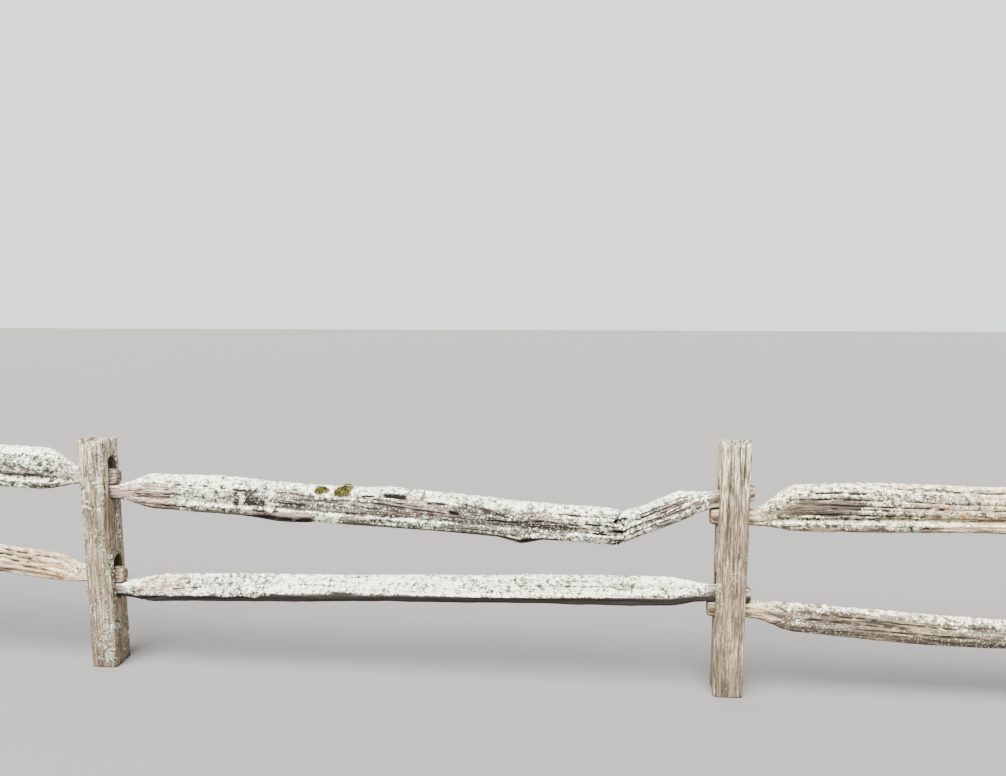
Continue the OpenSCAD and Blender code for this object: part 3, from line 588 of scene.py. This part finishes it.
def paintPatches(patches, layers, straight, share, facing, seed):
    form = patchForm
    tongue = waves(straight, form["tongueWave"], seed) * form["tongue"]
    lobe = waves(straight, form["lobeWave"], seed + 1)
    sway = waves(straight, form["swayWave"], seed + 2) * form["sway"]
    endSoft, sideSoft = form["endSoft"], form["sideSoft"]
    for kind, x1, x2, share1, share2, strength in patches:
        if kind == "moss":  # round cushions
            x, height = straight[:, 0] + form["mossAlong"] * lobe, share + form["mossUp"] * lobe
            away = np.hypot((x - (x1 + x2) / 2) / (x2 - x1) * 2,
                            (height - (share1 + share2) / 2) / (share2 - share1) * 2)
            inside = smooth(1.2, 0.7, away) * facing
        else:
            reach = np.clip((x2 - x1) * form["lobeShare"], form["lobeLeast"], form["lobeMost"])
            x, height = straight[:, 0] + (reach * lobe if kind == "lichen" else tongue), share + sway
            inside = (smooth(x1 - endSoft, x1 + endSoft, x) * smooth(x2 + endSoft, x2 - endSoft, x)
                      * smooth(share1 - sideSoft, share1 + sideSoft, height)
                      * smooth(share2 + sideSoft, share2 - sideSoft, height) * facing)
        if kind == "lichen":
            layers["lichen"] += (strength - layers["lichen"]) * inside
        elif kind == "clean":
            layers["lichen"] -= strength * inside
        else:
            name = layerNames.get(kind, kind)
            layers[name] = np.maximum(layers[name], inside * strength)


def finishTimber(piece, node, wood):
    piece.data.materials.append(materials[wood])
    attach(piece, "root")
    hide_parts(node)
    print("timber", node, len(piece.data.polygons), "faces")
    return piece


# From "fade" to "clear" metres beside a post the relief dies out, and only a share is "left"
seat = {"clear": 0.012, "fade": 0.11, "left": 0.12, "sunk": 0.0006}
hewing = {"length": 0.24, "full": 0.08, "stroke": 0.06, "ring": 0.009}  # axe marks, and rings on the ends
tear = {"length": 0.06, "full": 0.05, "strand": 0.007, "strandWave": (1, 0.006, 0.005), "lost": 0.0015,
        "lift": 0.009, "liftLength": 0.07, "liftFull": 0.01}  # of the two broken ends
# How far lichen and bare wood differ from place to place, and the waves that spread them
railCover = {"broad": 0.42, "broadWave": (0.26, 0.08, 0.08), "small": 0.25, "smallWave": (0.07, 0.03, 0.03),
             "onTop": 0.30, "under": 0.55, "bare": 0.7, "bareWave": (0.5, 0.05, 0.05),
             "floorSway": 0.05, "floorWave": (0.15, 1, 1)}
cushionForm = {"height": 0.007, "sway": 0.006, "wave": (0.012, 0.01, 0.01)}


def makeRail(node, look):
    piece = copyOfNode(node)
    rings = middleLine(readMesh(piece.data)[0])
    skinAlong(piece, look["fine"], 0)
    points, normals = readMesh(piece.data)
    x, seed = points[:, 0], look["seed"]
    straight = points.copy()
    for axis in (1, 2):
        straight[:, axis] -= np.interp(x, rings[:, 0], rings[:, axis])
    half = np.interp(x, rings[:, 0], rings[:, 4])
    share = straight[:, 2] / half
    front = smooth(-0.25, 0.25, -normals[:, 1] - 0.3 * normals[:, 2])
    top = smooth(0.1, 0.6, normals[:, 2])
    frontOrTop = np.maximum(front, top * (straight[:, 1] < 0.03))

    # The checks from the relief and the cracks get a very dark painted shade in the hollow layer
    height, hollow = woodRelief(straight, seed, look.get("checks", 1))
    depth, dark = openCracks(look.get("cracks", []), x, share, half, np.maximum(front, top), seed)
    height -= depth
    # Faces turned down: painted shade in the under layer, and less lichen
    under = smooth(0.45, 0.95, -normals[:, 2])
    cover = railCover
    layers = {"lichen": look["lichen"] + cover["broad"] * waves(straight, cover["broadWave"], seed + 6)
              + cover["small"] * waves(straight, cover["smallWave"], seed + 7)
              + cover["onTop"] * top - cover["under"] * under,
              "bare": cover["bare"] * smooth(0.25, 0.5, waves(straight, cover["bareWave"], seed + 8)),
              "rust": 0 * x, "moss": 0 * x, "under": under, "hollow": np.maximum(hollow, dark)}
    # Below the floor share the rail's underside band gets no lichen and a painted shade
    floor = look.get("floor", -1.2) + cover["floorSway"] * waves(straight, cover["floorWave"], seed + 9)
    below = smooth(0.05, -0.05, share - floor) * (1 - top)
    layers["lichen"] -= 2 * below
    layers["under"] = np.maximum(layers["under"], 1.15 * below)
    paintPatches(look.get("patches", []), layers, straight, share, frontOrTop, seed + 10)

    # Beside and inside the posts the relief dies out; the hewn shoulders keep the marks of the axe
    fromPost = np.min([np.abs(x - place) for place in postPlaces], axis=0) - postHalf
    free = smooth(seat["clear"], seat["fade"], fromPost)
    hewn = smooth(hewing["length"], hewing["full"], fromPost) * smooth(0.0, 0.03, fromPost)
    uneven = waves(straight, (0.2, 0.05, 0.05), seed + 11)
    scallop = np.abs(np.sin(pi * (x / hewing["stroke"] + 0.6 * uneven)))
    endFace = smooth(0.5, 0.8, np.abs(normals[:, 0])) * (fromPost < 0.05)
    layers["lichen"] -= 2 * (1 - smooth(0.0, 0.05, fromPost))
    layers["bare"] = np.maximum(layers["bare"], 0.5 * hewn)
    fromHeart = np.hypot(straight[:, 1] - 0.01, straight[:, 2] + 0.04)
    growthRings = smooth(0.2, 0.8, np.sin(2 * pi * fromHeart / hewing["ring"]))
    # End faces inside the posts: growth rings in the hollow layer, and painted shade in the under layer
    layers["hollow"] = np.maximum(layers["hollow"] * (0.3 + 0.7 * free), endFace * growthRings * 0.35)
    layers["under"] = np.maximum(layers["under"], endFace * 0.35)
    lumpy = 0.5 + waves(straight, grainWaves["lump"], seed + 12)
    tufted = cushionForm["height"] + cushionForm["sway"] * waves(straight, cushionForm["wave"], seed + 13)
    cushion = smooth(0.3, 0.8, layers["moss"]) * tufted
    layers["lichen"] -= 1.2 * smooth(0.3, 0.9, dark) + 2 * smooth(0.3, 0.6, layers["moss"])
    height = (height * (seat["left"] + (1 - seat["left"]) * free) - (1 - free) * seat["sunk"]
              - hewn * scallop * relief["hewn"]
              + smooth(0.35, 0.7, layers["lichen"]) * lumpy * relief["lump"] * free + cushion)
    points += normals * height[:, None]

    # Both broken ends are torn alike, strand by strand, and a little of each is lost
    if node.startswith("bay_2_top_rail"):
        side = 1 if node.endswith("stub") else -1
        torn = (smooth(0.3, 0.7, -side * normals[:, 0])
                * smooth(tear["length"], tear["full"], np.abs(x - breakPlace + 0.02)))
        strands = waves(straight * (0, 1, 1), tear["strandWave"], 3)
        points[:, 0] += torn * (tear["strand"] * strands + side * tear["lost"])
        nearBreak = smooth(tear["liftLength"], tear["liftFull"], np.abs(x - breakPlace))
        points[:, 2] += side * tear["lift"] * nearBreak * smooth(0.3, 0.8, share)
        layers["bare"] = np.maximum(layers["bare"], 0.5 * torn)
        layers["under"] = np.maximum(layers["under"], 0.5 * torn)
        layers["lichen"] -= torn
    saveLayers(piece.data, points, straight, layers)
    wood = look.get("wood", "lichenedRailWood")
    return finishTimber(piece, node, wood)


# The rotted top: bundles of fibres stand at different heights round a sunken middle
rottedTop = {"dish": 0.010, "bundle": 0.007, "bundleWave": (1, 0.010, 0.010), "lost": 0.002,
             "below": 0.07, "full": 0.05}
postCover = {"broad": 0.40, "broadWave": (0.20, 0.07, 0.07), "small": 0.22, "smallWave": (0.06, 0.03, 0.03),
             "bare": 0.6, "bareWave": (0.45, 0.05, 0.05), "worn": 0.62, "wornFrom": 0.19, "wornFull": 0.30}
# Strength of the relief on the faces and in the mortises, which "reach" this far from the middle
postRelief = {"faces": 0.55, "mortises": 0.12, "reach": 0.037, "foot": 0.02}


def makePost(node, look):
    piece = copyOfNode(node)
    low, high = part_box(node)
    skinAlong(piece, look["fine"], 2)
    points, normals = readMesh(piece.data)
    seed, z = look["seed"], points[:, 2]
    grain = np.column_stack([z, points[:, 1], points[:, 0] - (low.x + high.x) / 2])
    front = smooth(0.2, 0.6, -normals[:, 1])
    height, hollow = woodRelief(grain, seed)
    depth, dark = openCracks(look.get("cracks", []), z, grain[:, 2], 1, front, seed)
    height -= depth
    topFrom, topFull = high.z - rottedTop["below"], high.z - rottedTop["full"]
    inMortise = ((np.abs(points[:, 1]) < postRelief["reach"]) & (np.abs(normals[:, 0]) < 0.8)
                 & (z < topFrom))
    topFace = smooth(0.35, 0.7, normals[:, 2]) * smooth(topFrom, topFull, z)
    footFace = smooth(0.35, 0.7, -normals[:, 2]) * (z < postRelief["foot"])
    calm = (np.where(inMortise, postRelief["mortises"], postRelief["faces"])
            * (1 - footFace) * (1 - topFace))
    cover = postCover
    layers = {"lichen": look["lichen"] + cover["broad"] * waves(grain, cover["broadWave"], seed + 6)
              + cover["small"] * waves(grain, cover["smallWave"], seed + 7),
              "bare": np.maximum(
                  cover["bare"] * smooth(0.2, 0.5, waves(grain, cover["bareWave"], seed + 8)),
                  cover["worn"] * smooth(high.z - cover["wornFrom"], high.z - cover["wornFull"], z)),
              "rust": 0 * z, "moss": 0 * z,
              # Painted shade inside the mortises; the wood also darkens towards the foot and on the rotted
              # top
              "under": np.where(inMortise, 0.7, 0) + 0.55 * smooth(0.3, 0.0, z) + 0.3 * topFace}
    layers["lichen"] = np.where(inMortise, 0, layers["lichen"]) - 2 * smooth(0.03, 0.015, z)
    lumpy = 0.5 + waves(grain, grainWaves["lump"], seed + 12)
    height = (height + smooth(0.35, 0.7, layers["lichen"]) * lumpy * relief["lump"]) * calm
    points += normals * height[:, None]
    fromMiddle = np.hypot(grain[:, 1], grain[:, 2]) / postHalf
    bundles = rottedTop["bundle"] * waves(grain * (0, 1, 1), rottedTop["bundleWave"], seed + 14)
    dish = rottedTop["dish"] * (1 - np.minimum(fromMiddle, 1) ** 2)
    points[:, 2] += (bundles - dish - rottedTop["lost"]) * topFace
    # Painted shade in the checks and cracks, and between the low fibre bundles of the rotted top
    layers["hollow"] = np.maximum(np.maximum(hollow, dark) * calm,
                                  topFace * smooth(0, -0.005, bundles) * 0.7)
    saveLayers(piece.data, points, grain, layers)
    return finishTimber(piece, node, "postWood")


# Growth on the wood: rosettes of leafy lichen, and cushions of moss. Sizes hold for the usual
# skin; on a finer one the rosettes are smaller and closer, on a coarser one larger.
usualSkin, coarsest = 0.0043, 1.17
growths = {
    "lichen": {"layer": "lichen", "from": 1.54, "to": 1.80, "spacing": 0.0081, "density": 12500,
               "small": 0.6, "large": 1.5, "thin": 0.6, "tilt": 0.26, "seed": 4, "shapes": 4},
    "moss": {"layer": "moss", "from": 1.6, "to": 1.75, "spacing": 0.0022, "density": 90000,
             "small": 0.6, "large": 1.2, "thin": 0.3, "tilt": 0.6, "seed": 9, "shapes": 2},
}
rosetteForm = {"points": 7, "radius": 0.0044, "depth": 0.003, "rim": 0.0012, "rimSway": 0.0008,
               "middle": 0.0003, "foot": -0.002, "lobe": 0.22, "ragged": 0.28, "oval": 0.25}
tuftForm = {"points": 4, "radius": 0.0022, "tip": 0.0003, "length": 0.009, "middle": 0.003, "pale": 0.004}


def makeRosette(number):
    # A lobed, cupped disc with a lifted rim, closed below by its foot in the wood
    rng = np.random.default_rng(number)
    form = rosetteForm
    bpy.ops.mesh.primitive_cone_add(vertices=form["points"], radius1=form["radius"], radius2=0,
                                    depth=form["depth"], end_fill_type="TRIFAN", rotation=(pi, 0, 0))
    rosette = bpy.context.object
    rosette.name = f"rosette{number}"
    bpy.ops.object.transform_apply(location=True, rotation=True, scale=True)
    rimValues = []
    for vertex in rosette.data.vertices:
        onRim = vertex.co.xy.length > 0.001
        if onRim:
            turn = np.arctan2(vertex.co.y, vertex.co.x)
            lobe = 1 + form["lobe"] * cos(turn * form["points"] / 2) + form["ragged"] * rng.uniform(-1, 1)
            vertex.co.x *= lobe * (1 + form["oval"] * cos(turn - number))
            vertex.co.y *= lobe
            vertex.co.z = form["rim"] + form["rimSway"] * rng.uniform(-1, 1)
        else:
            vertex.co.z = form["middle"] if vertex.co.z > 0 else form["foot"]
        rimValues.append(1.0 if onRim else 0.0)
    layer = rosette.data.attributes.new("rim", "FLOAT", "POINT")
    layer.data.foreach_set("value", rimValues)
    rosette.data.materials.append(materials["paperyLichen"])
    bpy.ops.object.shade_smooth()
    return rosette


def makeMossTuft(number):
    form = tuftForm
    bpy.ops.mesh.primitive_cone_add(vertices=form["points"], radius1=form["radius"], radius2=form["tip"],
                                    depth=form["length"], location=(0, 0, form["middle"]),
                                    end_fill_type="TRIFAN")
    tuft = bpy.context.object
    tuft.name = f"tuft{number}"
    bpy.ops.object.transform_apply(location=True, rotation=True, scale=True)
    layer = tuft.data.attributes.new("rim", "FLOAT", "POINT")
    layer.data.foreach_set("value", [1.0 if v.co.z > form["pale"] else 0.0 for v in tuft.data.vertices])
    tuft.data.materials.append(materials["cushionMoss"])
    return tuft


def shapeCollection(kind, maker):
    collection = bpy.data.collections.new(kind + "Shapes")
    for number in range(growths[kind]["shapes"]):
        made = maker(number)
        for home in made.users_collection:
            home.objects.unlink(made)
        collection.objects.link(made)
    return collection


def growthTree(name, look, shapes):
    tree = bpy.data.node_groups.new(name, "GeometryNodeTree")
    tree.interface.new_socket("Timber", in_out="INPUT", socket_type="NodeSocketGeometry")
    tree.interface.new_socket("Coarse", in_out="INPUT", socket_type="NodeSocketFloat")
    tree.interface.new_socket("Growth", in_out="OUTPUT", socket_type="NodeSocketGeometry")
    timber = addNode(tree, "NodeGroupInput", {}, {})
    coarse = timber.node.outputs["Coarse"]
    spacing = addNode(tree, "ShaderNodeMath", {"operation": "MULTIPLY"}, {0: coarse, 1: look["spacing"]})
    density = addNode(tree, "ShaderNodeMath", {"operation": "MULTIPLY"}, {0: coarse, 1: coarse})
    density = addNode(tree, "ShaderNodeMath", {"operation": "DIVIDE"}, {0: look["density"], 1: density})

    # The same noise as in the wood's finish, so that growth stands on the painted crusts
    place = addNode(tree, "GeometryNodeInputPosition", {}, {})
    spread = addNode(tree, "GeometryNodeInputNamedAttribute", {"data_type": "FLOAT"},
                     {"Name": look["layer"]})
    for part, share in coverBlend.items():
        texture = addNode(tree, "ShaderNodeTexNoise", {}, {"Vector": place, **noises[part]})
        spread = addNode(tree, "ShaderNodeMath", {"operation": "MULTIPLY_ADD"},
                         {0: texture, 1: share, 2: spread})
    chance = addNode(tree, "ShaderNodeMapRange", {}, {0: spread, 1: look["from"], 2: look["to"]})
    points = addNode(tree, "GeometryNodeDistributePointsOnFaces", {"distribute_method": "POISSON"}, {
        "Mesh": timber, "Distance Min": spacing, "Density Max": density,
        "Density Factor": chance, "Seed": look["seed"]})
    upright = points.node.outputs["Rotation"]
    tone = addNode(tree, "FunctionNodeRandomValue", {"data_type": "FLOAT"}, {2: 0.0, 3: 0.8, "Seed": 1}, 1)
    points = addNode(tree, "GeometryNodeStoreNamedAttribute", {"data_type": "FLOAT", "domain": "POINT"},
                     {"Geometry": points, "Name": "tone", "Value": tone})
    grown = addNode(tree, "ShaderNodeMapRange", {}, {
        0: spread, 1: look["from"], 2: look["to"] + 0.15, 3: look["thin"], 4: 1.05})
    turn = addNode(tree, "FunctionNodeRandomValue", {"data_type": "FLOAT_VECTOR"}, {
        0: (-look["tilt"], -look["tilt"], 0), 1: (look["tilt"], look["tilt"], 2 * pi), "Seed": 2})
    turned = addNode(tree, "FunctionNodeRotateRotation", {"rotation_space": "LOCAL"},
                     {"Rotation": upright, "Rotate By": turn})
    size = addNode(tree, "FunctionNodeRandomValue", {"data_type": "FLOAT"},
                   {2: look["small"], 3: look["large"], "Seed": 3}, 1)
    for factor in (grown, coarse):
        size = addNode(tree, "ShaderNodeMath", {"operation": "MULTIPLY"}, {0: size, 1: factor})
    shape = addNode(tree, "GeometryNodeCollectionInfo", {}, {
        "Collection": shapes, "Separate Children": True, "Reset Children": True})
    placed = addNode(tree, "GeometryNodeInstanceOnPoints", {}, {
        "Points": points, "Instance": shape, "Pick Instance": True, "Rotation": turned, "Scale": size})
    whole = addNode(tree, "GeometryNodeRealizeInstances", {}, {"Geometry": placed})
    treeEnd = tree.nodes.new("NodeGroupOutput")
    tree.links.new(whole, treeEnd.inputs[0])
    return tree


def grow(timber, node, kind, tree, coarse=1):
    piece = bpy.data.objects.new(f"{node}_{kind}", timber.data.copy())
    bpy.context.scene.collection.objects.link(piece)
    selectOnly(piece)
    modifier = piece.modifiers.new("growth", "NODES")
    modifier.node_group = tree
    modifier[tree.interface.items_tree["Coarse"].identifier] = float(coarse)
    bpy.ops.object.modifier_apply(modifier=modifier.name)
    mesh = piece.data
    for name in [layer for layer in ("grain", *woodLayers) if layer in mesh.attributes]:
        mesh.attributes.remove(mesh.attributes[name])
    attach(piece, "root")
    print(kind, "on", node, len(mesh.polygons), "faces")
    return piece


setStudio()
print("stage and view set")
materials = {name: weatheredWood(name) for name in woodLooks}
materials["paperyLichen"] = paperyLichen()
materials["cushionMoss"] = cushionMoss()
print("finishes mixed")
timbers = {node: makeRail(node, look) for node, look in rails.items()}
timbers.update({node: makePost(node, look) for node, look in posts.items()})

shapes = {"lichen": shapeCollection("lichen", makeRosette), "moss": shapeCollection("moss", makeMossTuft)}
trees = {kind: growthTree(kind + "Growth", look, shapes[kind]) for kind, look in growths.items()}
for node, look in {**rails, **posts}.items():
    grow(timbers[node], node, "lichen", trees["lichen"], min(look["fine"] / usualSkin, coarsest))
grow(timbers["bay_2_top_rail"], "bay_2_top_rail", "moss", trees["moss"])
for collection in shapes.values():
    for made in list(collection.objects):
        bpy.data.objects.remove(made)
    bpy.data.collections.remove(collection)
print("growth done")
